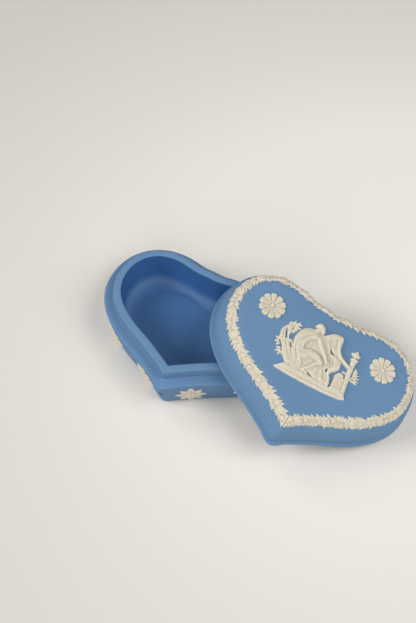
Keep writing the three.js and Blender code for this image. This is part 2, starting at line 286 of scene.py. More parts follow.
def clay(name, main, pale, deep, seed=0.0, marks=()):
    m, nt, bs = nodes_of(name)
    tc = nt.nodes.new("ShaderNodeTexCoord")
    mp = nt.nodes.new("ShaderNodeMapping"); mp.inputs["Location"].default_value = (seed, seed * 0.7, -seed)
    nt.links.new(tc.outputs["Object"], mp.inputs["Vector"])
    co = mp.outputs[0]
    broad = noise(nt, co, 28, 3, 0.5)
    mid = noise(nt, co, 240, 5, 0.6, 0.4)
    grain = noise(nt, co, 2600, 3, 0.7)
    speck = noise(nt, co, 1100, 2, 0.5)
    col = mixc(nt, ramp(nt, broad, [(0.25, (0, 0, 0)), (0.75, (1, 1, 1))]), deep, main)
    col = mixc(nt, math_(nt, "MULTIPLY", ramp(nt, mid, [(0.42, (0, 0, 0)), (0.7, (1, 1, 1))]), 0.10), col, pale)
    # fine light and dark grains in the body
    col = mixc(nt, math_(nt, "MULTIPLY", ramp(nt, grain, [(0.58, (0, 0, 0)), (0.75, (1, 1, 1))]), 0.20), col, pale)
    dark = ramp(nt, speck, [(0.22, (1, 1, 1)), (0.3, (0, 0, 0))])
    col = mixc(nt, math_(nt, "MULTIPLY", dark, 0.22), col, tuple(c * 0.5 for c in deep))
    # painted shade inside the box: where the 'inner' attribute is set the colour is multiplied towards a deeper, darker
    # blue, partly the clay's own unrubbed colour and partly painted shade, and where it is low, on the floor's fillet,
    # a painted lighter band is left; the same attribute also makes the inside smoother and shinier
    interior_shade_attr = nt.nodes.new("ShaderNodeAttribute"); interior_shade_attr.attribute_name = "inner"
    col = mixc(nt, interior_shade_attr.outputs["Fac"], col, mixc(nt, 1.0, col, (0.32, 0.58, 0.87), "MULTIPLY"))
    # a few marks of use: a dark chip, small stains
    for (x, y, z), r, shade, amount in marks:
        d = nt.nodes.new("ShaderNodeVectorMath"); d.operation = "DISTANCE"
        nt.links.new(tc.outputs["Object"], d.inputs[0]); d.inputs[1].default_value = (x * MM, y * MM, z * MM)
        wob = math_(nt, "MULTIPLY_ADD", mid, r * 0.0009, d.outputs["Value"])
        k = ramp(nt, math_(nt, "DIVIDE", wob, r * 0.002), [(0.35, (amount,) * 3), (0.7, (0, 0, 0))])
        col = mixc(nt, k, col, shade)
    nt.links.new(col, bs.inputs["Base Color"])
    ro = math_(nt, "SUBTRACT", math_(nt, "MULTIPLY_ADD", mid, 0.16, 0.70), math_(nt, "MULTIPLY", interior_shade_attr.outputs["Fac"], 0.28))
    nt.links.new(ro, bs.inputs["Roughness"])
    nt.links.new(math_(nt, "MULTIPLY_ADD", interior_shade_attr.outputs["Fac"], 0.14, 0.18), bs.inputs["Specular IOR Level"])
    b1 = nt.nodes.new("ShaderNodeBump"); b1.inputs["Strength"].default_value = 0.35; b1.inputs["Distance"].default_value = 0.00005
    nt.links.new(grain, b1.inputs["Height"])
    b2 = nt.nodes.new("ShaderNodeBump"); b2.inputs["Strength"].default_value = 0.35; b2.inputs["Distance"].default_value = 0.00025
    nt.links.new(mid, b2.inputs["Height"]); nt.links.new(b1.outputs[0], b2.inputs["Normal"])
    b2.inputs["Strength"].default_value = 0.16
    nt.links.new(b2.outputs[0], bs.inputs["Normal"])
    return m


def cream(name, main, pale, deep, tint, hollow_shade_tint):
    m, nt, bs = nodes_of(name)
    tc = nt.nodes.new("ShaderNodeTexCoord"); co = tc.outputs["Object"]
    mid = noise(nt, co, 420, 5, 0.6, 0.3)
    grain = noise(nt, co, 3000, 3, 0.7)
    broad = noise(nt, co, 60, 3, 0.5)
    col = mixc(nt, ramp(nt, mid, [(0.35, (0, 0, 0)), (0.68, (1, 1, 1))]), deep, main)
    col = mixc(nt, math_(nt, "MULTIPLY", ramp(nt, grain, [(0.5, (0, 0, 0)), (0.75, (1, 1, 1))]), 0.4), col, pale)
    col = mixc(nt, math_(nt, "MULTIPLY", ramp(nt, broad, [(0.45, (0, 0, 0)), (0.7, (1, 1, 1))]), 0.25), col, deep)
    # the blue of the body shows at thin edges: read from a vertex attribute of relief height
    at = nt.nodes.new("ShaderNodeAttribute"); at.attribute_name = "lift"
    low = ramp(nt, at.outputs["Fac"], [(0.0, (1, 1, 1)), (0.22, (0.35, 0.35, 0.35)), (0.5, (0, 0, 0))])
    col = mixc(nt, math_(nt, "MULTIPLY", low, 0.55), col, tint)
    # painted shade and highlight on the relief: its hollows are darkened towards a warm grey (painted shade with a
    # little dust) and its crests are lightened (painted highlight), read from a vertex attribute of height against the
    # neighbourhood
    cv = nt.nodes.new("ShaderNodeAttribute"); cv.attribute_name = "painted_relief_shading"
    col = mixc(nt, ramp(nt, cv.outputs["Fac"], [(0.12, (0.40, 0.40, 0.40)), (0.34, (0.15, 0.15, 0.15)), (0.50, (0, 0, 0))]), col, hollow_shade_tint)
    # painted highlight: the crests turn towards the pale cream
    col = mixc(nt, ramp(nt, cv.outputs["Fac"], [(0.56, (0, 0, 0)), (0.80, (0.5, 0.5, 0.5))]), col, pale)
    nt.links.new(col, bs.inputs["Base Color"])
    ro = math_(nt, "MULTIPLY_ADD", mid, 0.2, 0.62)
    nt.links.new(ro, bs.inputs["Roughness"])
    bs.inputs["Specular IOR Level"].default_value = 0.3
    bs.inputs["Subsurface Weight"].default_value = 0.05
    bs.inputs["Subsurface Scale"].default_value = 0.0006
    bs.inputs["Subsurface Radius"].default_value = (1.0, 0.8, 0.5)
    b1 = nt.nodes.new("ShaderNodeBump"); b1.inputs["Strength"].default_value = 0.4; b1.inputs["Distance"].default_value = 0.00006
    nt.links.new(grain, b1.inputs["Height"])
    b2 = nt.nodes.new("ShaderNodeBump"); b2.inputs["Strength"].default_value = 0.4; b2.inputs["Distance"].default_value = 0.0002
    nt.links.new(mid, b2.inputs["Height"]); nt.links.new(b1.outputs[0], b2.inputs["Normal"])
    nt.links.new(b2.outputs[0], bs.inputs["Normal"])
    return m


CHIP = [((-0.2, -53.1, 12.4), 1.9, lin(44, 42, 34), 0.95), ((-0.6, -47.6, 25.9), 0.9, lin(132, 126, 104), 0.6)]
SPOTS = [((57.0, -33.4, 26.5), 0.9, lin(78, 100, 128), 0.5), ((75.0, 10.0, 28.0), 0.8, lin(84, 104, 124), 0.5)]
CLAY_BASE = clay("clay_base", lin(99, 134, 170), lin(118, 151, 183), lin(96, 131, 167), 0.3, CHIP)
CLAY_LID = clay("clay_lid", lin(102, 137, 172), lin(121, 154, 184), lin(98, 133, 168), 1.1, SPOTS)
# the cream's last two colours: the blue-grey that shows at thin edges, and the warm grey of the painted shade, with a
# little dust, in the relief's hollows
CREAM = cream("relief_cream", lin(213, 206, 187), lin(226, 220, 204), lin(199, 191, 171), lin(150, 155, 156), lin(150, 139, 116))

# ------------------------------------------------------------------ the base shell
w = []
w += [(FOOT_IN + 2.6, 0.25, 1), (FOOT_IN + 2.2, 0.02, 1), (FOOT_IN + 1.6, 0.0, 1)]
w += [(i, z, 1) for i, z in arc(FOOT_IN + 1.3, 1.3, -1.25, -1.3, 90, 8, 7)]


def wall_inset(z):
    """outer wall: leans out from the foot and swells gently into the ledge"""
    t = np.clip((np.asarray(z, float) - 1.0) / (LEDGE_Z - 2.0), 0, 1)
    return FOOT_IN * (1 - t) ** 1.15


for z in np.linspace(1.8, LEDGE_Z - 1.9, 12):
    w.append((float(wall_inset(z)) + 0.02, z, 1))
w += [(i, z, 1) for i, z in arc(1.05, LEDGE_Z - 1.15, -1.05, 1.15, 0, 90, 9)]
w += [(i, LEDGE_Z + 0.0, 1) for i in (1.8, 2.8, 3.8)]
w += [(i, z, 1) for i, z in arc(RIM_OUT - 0.75, LEDGE_Z + 0.72, 0.75, -0.72, 90, 0, 6)]
w += [(RIM_OUT, LEDGE_Z + 2.0, 1), (RIM_OUT, LEDGE_Z + 3.6, 1)]
w += [(i, z, 1) for i, z in arc(RIM_OUT + 0.95, RIM_Z - 1.0, -0.95, 1.0, 0, 90, 7)]
w += [(0.5 * (RIM_OUT + RIM_IN), RIM_Z + 0.03, 1)]
w += [(i, z, 1) for i, z in arc(RIM_IN - 0.7, RIM_Z - 0.75, 0.7, 0.75, 90, 0, 7)]
for z in np.linspace(RIM_Z - 3, FLOOR_Z + 8.0, 5):
    w.append((RIM_IN + 0.05 + 0.45 * (RIM_Z - z) / (RIM_Z - FLOOR_Z), z, 1))
w += [(i, z, 1) for i, z in arc(RIM_IN + 0.5 + 6.6, FLOOR_Z + 6.6, -6.6, -6.6, 0, 84, 16)]
w += [(RIM_IN + 0.5 + 6.9, FLOOR_Z - 0.10, 1)]
inner = RIM_IN + 0.5 + 7.2
for k in (0.96, 0.9, 0.8, 0.68, 0.52, 0.36, 0.2, 0.08):
    w.append((inner, FLOOR_Z - 0.3 * (1 - k) ** 2, k))
foot = [(FOOT_IN + 2.6, 0.25, k) for k in (0.08, 0.3, 0.55, 0.8)]
soft_at = lambda i, z: (2.9 - 1.5 * min(1, z / LEDGE_Z)) if i < RIM_OUT - 1 and z < LEDGE_Z + 1 else (1.35 if i < RIM_OUT + 0.4 else (0.9 if i < RIM_IN - 0.9 else (0.55 if z > RIM_Z - 1.2 else 0.9)))
w = [(i, z, k, round(soft_at(i, z), 2)) if k == 1 and i < 12 else (i, z, k) for i, z, k in w]
shell("base_body", foot + w, place_base, 1.0, "base", "base_shell", CLAY_BASE, 0.25, FLOOR_Z - 0.3, RIM_IN - 0.1)

# ------------------------------------------------------------------ the lid shell
def shoulder_z(inset):
    i = np.clip(np.asarray(inset, float), 0, SHOULDER_IN)
    return LID_H - SHOULDER_H * (1 - np.sqrt(np.clip(1 - (1 - i / SHOULDER_IN) ** 2, 0, 1)))


sh = lambda a: (SHOULDER_IN * (1 - math.cos(math.radians(a))), LID_H - SHOULDER_H * (1 - math.sin(math.radians(a))))
lo = []
lo += [(LID_WALL + 8.6, LID_CEILING + 0.15, k) for k in (0.1, 0.3, 0.5, 0.7, 0.88)]
lo += [(i, z, 1) for i, z in arc(LID_WALL + 1.5 + 6.0, LID_CEILING - 5.6, -6.0, 5.75, 90, 0, 12)]
lo += [(LID_WALL + 1.3, 6.5, 1), (LID_WALL + 0.9, 4.6, 1), (LID_WALL + 0.4, 2.6, 1)]
lo += [(i, z, 1) for i, z in arc(LID_WALL - 0.75, 0.95, 0.85, -0.9, 0, 90, 6)]
lo += [(2.6, 0.02, 1), (1.6, 0.02, 1)]
lo += [(i, z, 1) for i, z in arc(0.60, 1.12, -1.12, -1.10, 90, -50, 12)]
lo += [(0.44, 2.14, 1), (1.02, 2.40, 1), (1.22, 2.62, 1), (1.24, 2.85, 1), (1.08, 3.10, 1), (0.86, 3.36, 1), (0.76, 3.7, 1)]
for a in (10, 12, 15, 20, 25, 30, 36, 42, 48, 54, 60, 66, 72, 78, 84, 90):
    i, z = sh(a)
    lo.append((i + 0.62 * math.exp(-((z - 3.9) / 3.6) ** 2), z, 1))
for k in (0.97, 0.92, 0.85, 0.76, 0.65, 0.52, 0.38, 0.24, 0.1):
    lo.append((SHOULDER_IN, LID_H + DOME * (1 - k * k), k))
lo = [(i, z, k, 0.9 if z < 3.3 else 1.05) if k == 1 and z > 0.9 * (i > 3) * LID_CEILING and (z > 0.01) and not (i > 2.9 and z < LID_CEILING + 1) else (i, z, k) for i, z, k in lo]
shell("lid_body", lo, place_lid, LID_SCALE, "lid", "lid_shell", CLAY_LID, LID_CEILING + 0.15, LID_H + DOME)


# ------------------------------------------------------------------ reliefs as height fields
def smax(a, b, k):
    h = np.clip(0.5 + 0.5 * (a - b) / k, 0, 1)
    return b * (1 - h) + a * h + k * h * (1 - h)


class Field:
    """a height in mm over a grid of (u, v) in mm; below 0 there is nothing"""

    def __init__(self, u0, u1, v0, v1, step):
        self.u = np.arange(u0, u1 + step * 0.5, step)
        self.v = np.arange(v0, v1 + step * 0.5, step)
        self.h = np.full((len(self.u), len(self.v)), -0.5)
        self.step = step

    def window(self, cu, cv, r):
        i0, i1 = np.searchsorted(self.u, [cu - r, cu + r])
        j0, j1 = np.searchsorted(self.v, [cv - r, cv + r])
        if i1 <= i0 or j1 <= j0:
            return None
        U, V = np.meshgrid(self.u[i0:i1], self.v[j0:j1], indexing="ij")
        return slice(i0, i1), slice(j0, j1), U, V

    def put(self, win, h, k=0.0):
        s = (win[0], win[1])
        self.h[s] = np.maximum(self.h[s], h) if k <= 0 else smax(self.h[s], h, k)

    def leaf(self, cu, cv, ang, L, W, H, z0=0.0, vein=0.35, bend=0.0, tip=0.7, k=0.0):
        """a pointed leaf from (cu, cv), ang in radians"""
        win = self.window(cu + math.cos(ang) * L / 2, cv + math.sin(ang) * L / 2, L * 0.62 + W)
        if win is None:
            return
        _, _, U, V = win
        x = (U - cu) * math.cos(ang) + (V - cv) * math.sin(ang)
        y = -(U - cu) * math.sin(ang) + (V - cv) * math.cos(ang)
        t = x / L
        y = y - bend * L * t * t
        tc = np.clip(t, 1e-4, 1 - 1e-4)
        wd = W * np.sin(np.pi * tc ** tip) ** 0.85 + 1e-4
        q = np.abs(y) / wd
        inside = (t > 0) & (t < 1) & (q < 1)
        prof = (1 - np.clip(q, 0, 1) ** 2.4) ** 0.6
        along = 0.45 + 0.55 * np.sin(np.pi * np.clip(tc, 0, 1) ** 0.8)
        h = z0 + H * prof * along - vein * H * np.exp(-(y / (0.16 + 0.05 * W)) ** 2) * (tc < 0.93)
        edge = np.clip((1 - q) * wd / 0.12, 0, 1) * np.clip(t * L / 0.12, 0, 1) * np.clip((1 - t) * L / 0.12, 0, 1)
        h = np.where(inside, -0.2 + (h + 0.2) * edge ** 0.5, -0.5)
        self.put(win, h, k)

    def dome(self, cu, cv, r, H, z0=0.0, sq=1.0, ang=0.0, power=0.5, k=0.0):
        win = self.window(cu, cv, r * max(1, sq) + 0.2)
        if win is None:
            return
        _, _, U, V = win
        x = (U - cu) * math.cos(ang) + (V - cv) * math.sin(ang)
        y = -(U - cu) * math.sin(ang) + (V - cv) * math.cos(ang)
        q = (x / (r * sq)) ** 2 + (y / r) ** 2
        h = np.where(q < 1, z0 + H * np.clip(1 - q, 0, 1) ** power, -0.5)
        self.put(win, h, k)

    def rose(self, cu, cv, R, H, turn=0.0, z0=0.0):
        """a small open rose: five round outer petals, five inner ones and a bud"""
        win = self.window(cu, cv, R * 1.1)
        if win is None:
            return
        _, _, U, V = win
        rr = np.hypot(U - cu, V - cv); th = np.arctan2(V - cv, U - cu) + turn
        lobes = R * (0.90 + 0.10 * np.abs(np.cos(2.5 * th)) ** 0.6)
        q = rr / lobes
        h = z0 + H * (0.55 + 0.35 * np.clip(q, 0, 1) ** 1.5)
        h = h - 0.33 * H * np.exp(-((np.abs(np.mod(th * 5 / (2 * np.pi), 1) - 0.5) - 0.5) / 0.07) ** 2) * (q > 0.45)
        h = np.where(q > 0.82, h - (q - 0.82) / 0.18 * 0.45 * H, h)
        # second ring of petals, turned half a petal, standing higher
        q2 = rr / (R * 0.62)
        h2 = z0 + H * (0.72 + 0.33 * np.clip(q2, 0, 1) ** 2)
        h2 = h2 - 0.30 * H * np.exp(-((np.abs(np.mod((th + 0.63) * 5 / (2 * np.pi), 1) - 0.5) - 0.5) / 0.09) ** 2) * (q2 > 0.5)
        h = np.where(q2 < 1, np.maximum(h, h2), h)
        q3 = rr / (R * 0.3)
        h = np.where(q3 < 1, z0 + H * (0.8 + 0.35 * np.clip(1 - q3 ** 2, 0, 1) ** 0.5), h)
        h = np.where(q < 1, h, -0.5)
        self.put(win, h)

    def soften(self, times=1):
        for _ in range(times):
            p = np.pad(self.h, 1, mode="edge")
            self.h = (4 * p[1:-1, 1:-1] + 2 * (p[:-2, 1:-1] + p[2:, 1:-1] + p[1:-1, :-2] + p[1:-1, 2:])
                      + p[:-2, :-2] + p[2:, 2:] + p[:-2, 2:] + p[2:, :-2]) / 16

    def piece(self, name, mapper, place, body, node, depth=0.3, keep=None, grain=0.02):
        """mapper(u, v, h) -> mm in the body's own frame. The solid's flat back lies a little below the surface."""
        h = self.h
        if keep is not None:
            h = np.where(keep, h, -0.5)
        nu, nv = h.shape
        hh = np.maximum(h, -depth * 0.9)
        on = (h[:-1, :-1] > -0.12) | (h[1:, :-1] > -0.12) | (h[:-1, 1:] > -0.12) | (h[1:, 1:] > -0.12)
        if keep is not None:
            on &= keep[:-1, :-1] & keep[1:, :-1] & keep[:-1, 1:] & keep[1:, 1:]
        U, V = np.meshgrid(self.u, self.v, indexing="ij")
        top = mapper(U.ravel(), V.ravel(), hh.ravel())
        bot = mapper(U.ravel(), V.ravel(), np.full(U.size, -depth))
        I, J = np.where(on)
        a = I * nv + J; b = (I + 1) * nv + J; c = (I + 1) * nv + J + 1; d = I * nv + J + 1
        used = np.zeros(nu * nv, bool)
        for q in (a, b, c, d):
            used[q] = True
        idx = -np.ones(nu * nv, int); idx[used] = np.arange(used.sum()); m = int(used.sum())
        pad = np.pad(on, 1)
        F = [np.stack([idx[a], idx[b], idx[c], idx[d]], 1), np.stack([idx[a], idx[d], idx[c], idx[b]], 1) + m]
        # walls where a kept cell meets nothing
        for (di, dj), (p, q) in {(-1, 0): (d, a), (1, 0): (b, c), (0, -1): (a, b), (0, 1): (c, d)}.items():
            open_ = ~pad[I + 1 + di, J + 1 + dj]
            p_, q_ = idx[p[open_]], idx[q[open_]]
            F.append(np.stack([q_, p_, p_ + m, q_ + m], 1))
        F = np.concatenate(F)
        P = np.concatenate([top[used], bot[used]])
        # which way round: the top must face out
        t0 = P[F[0]]
        nrm = np.cross(t0[1] - t0[0], t0[2] - t0[0])
        up = mapper(U.ravel()[[a[0]]], V.ravel()[[a[0]]], np.array([1.0])) - mapper(U.ravel()[[a[0]]], V.ravel()[[a[0]]], np.array([0.0]))
        if (nrm @ up[0]) < 0:
            F = F[:, ::-1]
        ob = new_mesh(name, place(P) * MM, F.tolist(), body, node, CREAM)
        # painted shade and highlight for the relief: each point's height against a blur of its neighbourhood, low in
        # the hollows and high on the crests, held neutral on the lowest parts; the cream material darkens and lightens
        # with it
        g = np.maximum(h, 0.0)
        w = max(2, int(round(0.55 / self.step)))
        for _ in range(2):
            for axis in (0, 1):
                pd = [(0, 0), (0, 0)]; pd[axis] = (w + 1, w)
                c = np.cumsum(np.pad(g, pd, mode="edge"), axis=axis)
                g = (np.take(c, range(2 * w + 1, c.shape[axis]), axis) - np.take(c, range(0, c.shape[axis] - 2 * w - 1), axis)) / (2 * w + 1)
        cav = np.clip(0.5 + (np.maximum(h, 0.0) - g) / 0.55, 0, 1)
        cav = np.where(h < 0.3, np.maximum(cav, 0.5), cav)
        for key, arr, low in (("lift", np.clip(hh, 0, 2), 0.0), ("painted_relief_shading", cav, 0.5)):
            at = ob.data.attributes.new(key, "FLOAT", "POINT")
            val = np.concatenate([arr.ravel()[used], np.full(m, low)]).astype(np.float32)
            if len(at.data) == len(val):
                at.data.foreach_set("value", val)
        return ob


# ---- where a flat drawing goes on the lid's top, round its shoulder, and round the base's wall
_RS = ring_c(SHOULDER_IN)


def top_map(x, y, h):
    ph = np.abs(np.arctan2(x, y)); rs = np.interp(ph, HALF, _RS)
    k = np.clip(np.hypot(x, y) / rs, 0, 1)
    z = LID_H + DOME * (1 - k * k) + h
    return np.stack([x * LID_SCALE, y * LID_SCALE, z], 1)


class Band:
    """a strip along one side of a ring: s from the tip, t across, as a drawing on the profile (inset, z)"""

    def __init__(self, mid_inset, profile, scale, side):
        r = ring(mid_inset, 0.0)
        x, y = (r * np.sin(HALF))[::-1], (r * np.cos(HALF))[::-1]
        x[0] = 0; x[-1] = 0
        s = np.concatenate([[0], np.cumsum(np.hypot(np.diff(x), np.diff(y)))])
        self.length = s[-1]
        grid = np.linspace(0, s[-1], 1600)
        x, y = np.interp(grid, s, x), np.interp(grid, s, y)
        dx, dy = np.gradient(x, grid), np.gradient(y, grid)
        ker = np.ones(15) / 15
        px, py = np.pad(dx, 7, mode="edge"), np.pad(dy, 7, mode="edge")
        dx, dy = np.convolve(px, ker, "valid"), np.convolve(py, ker, "valid")
        L = np.hypot(dx, dy); dx /= L; dy /= L
        # travelling from the tip up the right side, the inside is on the left
        self.s, self.x, self.y, self.nx, self.ny = grid, x, y, -dy, dx
        self.dx, self.dy = dx, dy
        self.mid = mid_inset; self.scale = scale; self.side = side
        pi, pz = profile[:, 0], profile[:, 1]
        t = np.concatenate([[0], np.cumsum(np.hypot(np.diff(pi), np.diff(pz)))])
        t -= np.interp(mid_inset, pi, t) if pi[-1] > pi[0] else np.interp(-mid_inset, -pi, t)
        self.t, self.pi, self.pz = t, pi, pz
        self.ti, self.tz = np.gradient(pi, t), np.gradient(pz, t)

    def __call__(self, s, t, h):
        sc = np.clip(s, 0, self.length)
        x, y = np.interp(sc, self.s, self.x), np.interp(sc, self.s, self.y)
        nx, ny = np.interp(sc, self.s, self.nx), np.interp(sc, self.s, self.ny)
        over = s - sc  # a little past either end, straight on
        x = x + over * np.interp(sc, self.s, self.dx); y = y + over * np.interp(sc, self.s, self.dy)
        i, z = np.interp(t, self.t, self.pi), np.interp(t, self.t, self.pz)
        ti, tz = np.interp(t, self.t, self.ti), np.interp(t, self.t, self.tz)
        L = np.hypot(ti, tz)
        i = i - h * tz / L; z = z + h * ti / L
        X = np.maximum((x + nx * (i - self.mid)) * self.scale, 0.012)
        Y = (y + ny * (i - self.mid)) * self.scale
        return np.stack([X * self.side, Y, z], 1)


_a = np.radians(np.linspace(12, 90, 160))
SHOULDER = np.stack([SHOULDER_IN * (1 - np.cos(_a)), LID_H - SHOULDER_H * (1 - np.sin(_a))], 1)
SHOULDER = np.concatenate([SHOULDER, [[SHOULDER_IN + 3, LID_H + 0.06]]])
MID = 6.15


def garland(side, number, s0, s1):
    """one moulded length: leaves lying over one another both ways off a stem, with open roses, small flowers and buds"""
    band = Band(MID, SHOULDER, LID_SCALE, 1)
    rng = np.random.RandomState(100 + number * 7 + (50 if side < 0 else 0))
    f = Field(s0 - 1.6, s1 + 1.6, -4.8, 4.8, 0.165)
    L = s1 - s0
    way = -1.0                                  # the leaves point towards the tip of the heart
    for s in np.arange(s0 + 0.9, s1 - 0.6, 0.8):
        f.dome(s, rng.uniform(-0.3, 0.3), 1.9, 0.34, 0.12, 1.3)
    roses = []
    k = max(1, int(round(L / 12.5)))
    for i in range(k):
        roses.append(s0 + L * (i + 0.5) / k + rng.uniform(-0.7, 0.7))
    step = 1.75
    n = int((L - 1.4) / step)
    for i in range(n):
        s = s1 - 0.9 - (L - 2.4) * i / max(1, n - 1)
        for v in (-1, 1):
            a = rng.uniform(0.62, 1.12); ang = math.atan2(v * math.sin(a), way * math.cos(a))
            ln = min(rng.uniform(3.2, 4.4), 3.25 / math.sin(a) + rng.uniform(-0.35, 0.35))
            st = s + (0.7 if v > 0 else -0.3) + rng.uniform(-0.35, 0.35)
            f.leaf(st, v * 0.3, ang, ln, rng.uniform(0.74, 0.95), rng.uniform(0.55, 0.75), rng.uniform(0.0, 0.16), 0.42, -v * rng.uniform(-0.05, 0.14), 0.78)
        for v in (-1, 1):
            a = rng.uniform(0.25, 0.8); ang = math.atan2(v * math.sin(a), way * math.cos(a))
            if s + way * 3.0 < s0 - 0.2:
                continue
            f.leaf(s + rng.uniform(-0.4, 0.4), v * rng.uniform(0.5, 1.0), ang, rng.uniform(2.3, 3.1), rng.uniform(0.6, 0.8), rng.uniform(0.55, 0.75), rng.uniform(0.28, 0.42), 0.42, 0, 0.78)
    # the length ends in three long leaves
    for a, ln in ((0.0, 2.6), (0.42, 2.6), (-0.42, 2.6)):
        f.leaf(s0 + 2.2, 1.3 * a, math.pi + a, ln, 0.8, 0.7, 0.3, 0.4)
    for r in roses:
        v = rng.uniform(-0.35, 0.35)
        f.rose(r, v, rng.uniform(2.15, 2.5), 1.15, rng.uniform(0, 6), 0.34)
        for q in (-1, 1):
            f.rose(r + q * rng.uniform(3.1, 3.8), rng.uniform(-1.1, 1.1), rng.uniform(1.1, 1.4), 0.95, rng.uniform(0, 6), 0.30)
    for i in range(int(L / 2.8)):
        s = s0 + 1.5 + (L - 3) * rng.uniform(0, 1)
        if min(abs(s - r) for r in roses) > 2.4:
            f.dome(s, rng.uniform(-1.8, 1.8), rng.uniform(0.36, 0.55), 0.45, 0.75)
    f.h = np.where(f.h > 0, f.h * 0.86, f.h)
    U, V = np.meshgrid(f.u, f.v, indexing="ij")
    P = band(U.ravel(), V.ravel(), np.zeros(U.size)).reshape(*U.shape, 3)
    keep = P[..., 0] > 0.013
    keep[1:, :] |= keep[:-1, :].copy(); keep[:-1, :] |= keep[1:, :].copy()
    word = "right" if side > 0 else "left"
    b = Band(MID, SHOULDER, LID_SCALE, side)
    return f.piece(f"garland_{word}_{number}_relief", b, place_lid, "lid", f"garland_{word}_{number}", 0.3, keep)


_mid = Band(MID, SHOULDER, LID_SCALE, 1)


def s_of_phi(deg):
    r = np.hypot(_mid.x, _mid.y); ph = np.degrees(np.arctan2(_mid.x, _mid.y)) % 360
    i = np.argmin(np.abs(ph - deg))
    return float(_mid.s[i])


CUTS = [_mid.length, s_of_phi(38), s_of_phi(80), s_of_phi(127), 0.0]
for side in (1, -1):
    for k in range(4):
        garland(side, k + 1, CUTS[k + 1] + (0.25 if k < 3 else -0.3), CUTS[k] - (0.25 if k > 0 else -0.3))


# ---- rosettes
def rosette(side):
    R = ROSETTE_R
    f = Field(-R - 0.5, R + 0.5, -R - 0.5, R + 0.5, 0.12)
    U, V = np.meshgrid(f.u, f.v, indexing="ij")
    rr = np.hypot(U, V); th = np.arctan2(V, U) + (0.10 if side > 0 else 0.33)
    p = np.mod(th * 10 / (2 * np.pi), 1) - 0.5          # -0.5..0.5 across a petal
    ap = np.abs(p)
    lobe = np.cos(np.pi * np.clip(ap / 0.5, 0, 1) * 0.5)
    rim = R * (0.75 + 0.25 * lobe ** 0.46 - 0.050 * np.exp(-(p / 0.075) ** 2))
    q = rr / rim
    arcw = np.clip(rr * 2 * math.pi / 10, 0.05, None)   # a petal's width here, mm
    slit = (0.5 - ap) * arcw                            # mm to the petal's edge
    h = 0.42 + 0.42 * np.clip(q, 0, 1) ** 1.1
    h = h + 0.16 * np.cos(np.pi * ap) * np.clip(q, 0, 1)
    h = h - 0.62 * np.exp(-(slit / 0.20) ** 1.6) * np.clip((rr - 1.3) / 1.2, 0, 1)
    h = h - 0.17 * np.exp(-((p * arcw) / 0.17) ** 2) * np.clip((q - 0.30) / 0.3, 0, 1)
    h = h - 0.09 * np.exp(-(((ap * arcw) - 0.95) / 0.16) ** 2) * np.clip((q - 0.48) / 0.3, 0, 1)
    h = np.where(q > 0.88, h - ((q - 0.88) / 0.12) ** 2 * 0.55, h)
    c = rr / 0.95
    h = h - 0.26 * np.exp(-((rr - 1.25) / 0.24) ** 2)
    h = np.where(c < 1, np.maximum(h, 0.60 + 0.50 * np.clip(1 - c ** 2, 0, 1) ** 0.5), h)
    f.h = np.where(q < 1.0, np.maximum(h, 0.02), -0.5)
    f.soften(1)
    word = "right" if side > 0 else "left"
    cx = ROSETTE_X * side
    f.piece(f"rosette_{word}_relief", lambda u, v, h: top_map(u + cx, v + ROSETTE_Y, h), place_lid, "lid", f"rosette_{word}")


rosette(1)
rosette(-1)


# ---- star flowers on the base's wall
_z = np.linspace(0.6, LEDGE_Z - 1.4, 80)
WALL = np.stack([wall_inset(_z) + 0.02, _z], 1)
WALL = WALL[::-1] if WALL[0, 0] < WALL[-1, 0] else WALL


def star_flower(side, number, arc_s):
    band = Band(float(wall_inset(FLOWER_Z)), WALL, 1.0, side)
    f = Field(-8.9, 8.9, -8.2, 8.2, 0.16)
    for i in range(8):
        a = i * math.pi / 4
        L = 8.3 if i % 2 == 0 else 8.1
        L = L if abs(math.cos(a)) > 0.2 else 9.4
        f.leaf(0.0, 0.0, a, L, 1.85 if abs(math.cos(a)) > 0.2 else 2.1, 0.72, 0.12, 0.34, 0.0, 0.80)
    for i in range(8):
        a = (i + 0.5) * math.pi / 4
        f.leaf(0.2 * math.cos(a), 0.2 * math.sin(a), a, 4.6, 1.15, 0.72, 0.20, 0.34)
    for i in range(6):
        a = i * math.pi / 3
        f.dome(1.75 * math.cos(a), 1.75 * math.sin(a), 0.95, 0.62, 0.74)
    f.dome(0, 0, 0.85, 0.62, 0.90)
    f.soften(1)
    word = "right" if side > 0 else "left"
    f.piece(f"star_flower_{word}_{number}_relief", lambda u, v, h: band(u + arc_s, v, h), place_base, "base", f"star_flower_{word}_{number}")


for n, arc_s in enumerate([15.5, 45.1, 76.5, 106.5, 134.5]):
    star_flower(1, n + 1, arc_s)
    star_flower(-1, n + 1, arc_s)


# ---- the scene in the middle of the lid
def inside_poly(X, Y, poly):
    p = np.array(poly, float); q = np.roll(p, -1, 0); c = np.zeros(X.shape, bool)
    for (x0, y0), (x1, y1) in zip(p, q):
        c ^= ((y0 > Y) != (y1 > Y)) & (X < (x1 - x0) * (Y - y0) / (y1 - y0 + 1e-15) + x0)
    return c


def curve(points, n=12, closed=True):
    """Catmull-Rom through the points"""
    p = np.array(points, float); out = []
    m = len(p)
    for i in range(m if closed else m - 1):
        if closed:
            a, b, c, d = p[(i - 1) % m], p[i], p[(i + 1) % m], p[(i + 2) % m]
        else:
            a, b, c, d = p[max(i - 1, 0)], p[i], p[i + 1], p[min(i + 2, m - 1)]
        for t in np.arange(n) / n:
            out.append(0.5 * ((2 * b) + (-a + c) * t + (2 * a - 5 * b + 4 * c - d) * t * t + (-a + 3 * b - 3 * c + d) * t ** 3))
    if not closed:
        out.append(p[-1])
    return np.array(out)


